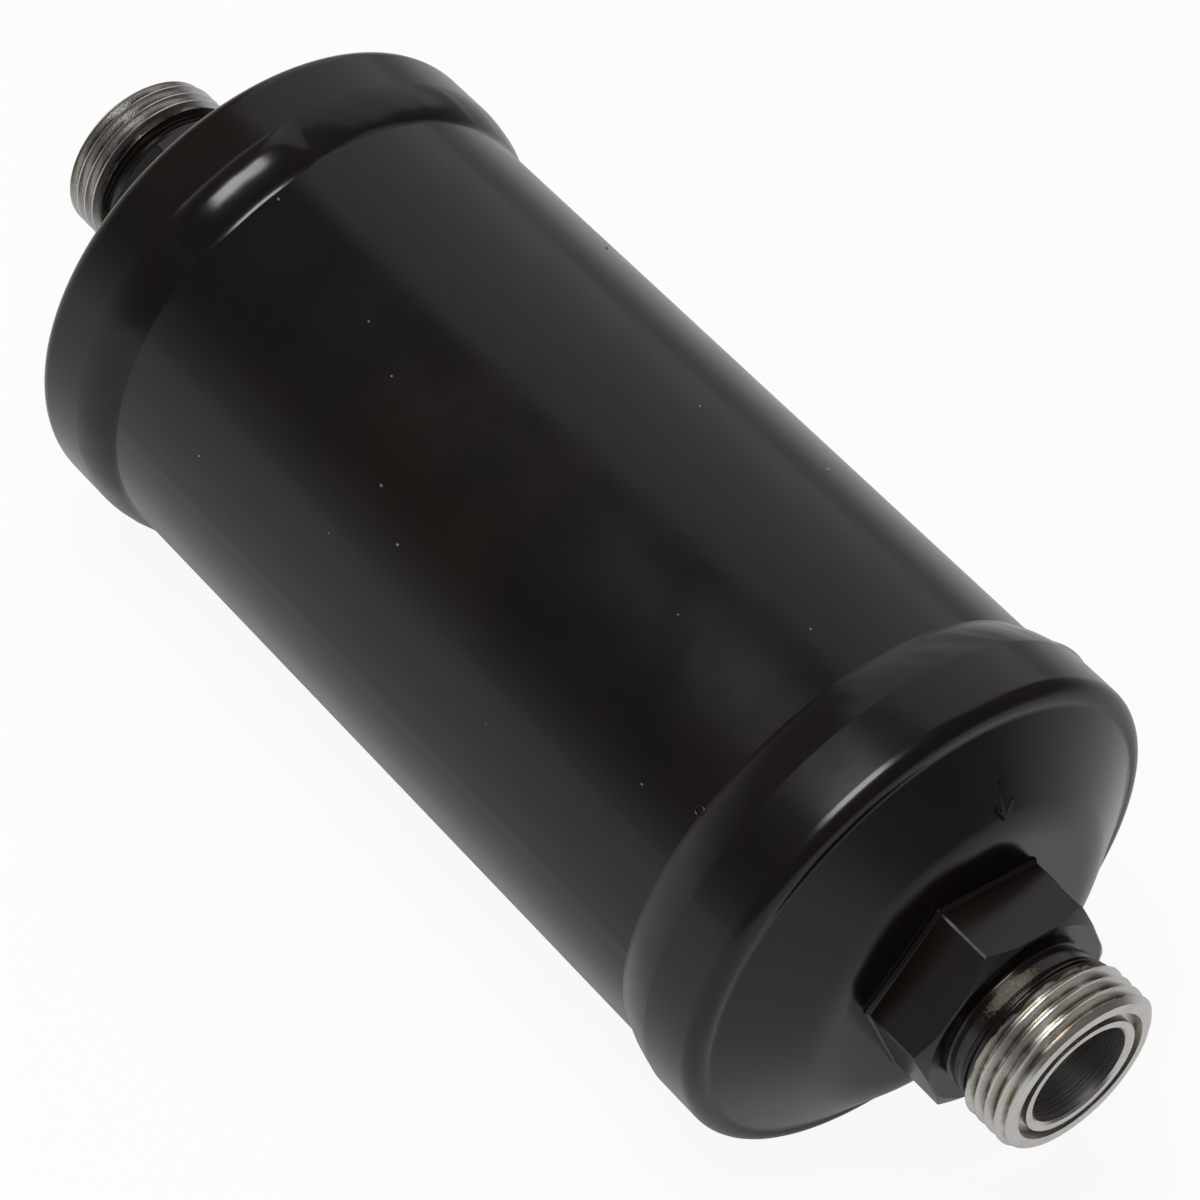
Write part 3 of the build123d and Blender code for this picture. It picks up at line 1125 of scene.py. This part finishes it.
def room_round_part(name):
    """White to the camera. The part sees a room that is light low down and dark above."""
    world = bpy.data.worlds.new(name)
    world.use_nodes = True
    tree = world.node_tree
    tree.nodes.clear()
    direction = shader_node(tree, "ShaderNodeTexCoord").outputs["Generated"]
    axes = shader_node(tree, "ShaderNodeSeparateXYZ", {"Vector": direction}).outputs
    lean = math_node(tree, "MULTIPLY", axes["X"], room_lean)
    height = math_node(tree, "SUBTRACT", axes["Z"], lean)
    room = spread(tree, height, *room_edges, *room_light)
    rays = shader_node(tree, "ShaderNodeLightPath").outputs
    strength = math_node(tree, "MAXIMUM", room, rays["Is Camera Ray"])
    background = shader_node(tree, "ShaderNodeBackground", {"Color": white, "Strength": strength})
    shader_node(tree, "ShaderNodeOutputWorld", {"Surface": background.outputs["Background"]})
    return world


def hang_light(light, place, aim):
    """The light hangs at a place and shines at a point."""
    hung = bpy.data.objects.new(light.name, light)
    hung.location = place
    facing = Vector(place) - Vector(aim)
    hung.rotation_euler = facing.to_track_quat("Z", "Y").to_euler()
    bpy.context.scene.collection.objects.link(hung)
    return hung


def soft_panel(name, place, size, radiance):
    """A square panel of this size that faces the part, as bright as this radiance."""
    light = bpy.data.lights.new(name, "AREA")
    light.shape = "SQUARE"
    light.size = size
    light.energy = radiance * math.pi * size * size
    hang_light(light, place, panel_aim).visible_camera = False


bpy.ops.object.select_all(action="DESELECT")
floor_height = cad_bounds[0][2] - floor_drop
bpy.ops.mesh.primitive_plane_add(size=floor_size, location=(0, 0, floor_height))
floor = bpy.context.object
floor.name = "pale_floor"
floor.data.materials.append(floor_finish("pale_floor"))
bpy.context.scene.world = room_round_part("studio")
soft_panel("far_side_panel", far_panel_place, far_panel_size, far_panel_radiance)
soft_panel("top_panel", top_panel_place, top_panel_size, top_panel_radiance)

bore_lamp = bpy.data.lights.new("bore_lamp", "SPOT")
bore_lamp.energy = bore_lamp_energy
bore_lamp.spot_size = bore_lamp_cone
bore_lamp.spot_blend = 1.0
bore_lamp.shadow_soft_size = bore_lamp_radius
hang_light(bore_lamp, bore_aim + bore_lamp_direction * bore_lamp_distance, bore_aim)


# Camera: a long lens, above the inlet's end and a little rolled.
camera_place = (-0.3176, 0.3471, 0.4484)
camera_right = (-0.6246, -0.7650, 0.1572)
camera_up = (0.6138, -0.3565, 0.7045)
camera_back = (-0.4828, 0.5365, 0.6922)
lens_length = 145.8
sensor_width = 36.0
nearest_seen = 0.01
farthest_seen = 50

camera_data = bpy.data.cameras.new("view_camera")
camera_data.lens = lens_length
camera_data.sensor_width = sensor_width
camera_data.clip_start = nearest_seen
camera_data.clip_end = farthest_seen
camera = bpy.data.objects.new("view_camera", camera_data)
bpy.context.scene.collection.objects.link(camera)
camera.matrix_world = standing_at(camera_place, camera_right, camera_up, camera_back)
bpy.context.scene.camera = camera
bpy.context.scene.view_settings.view_transform = "Standard"
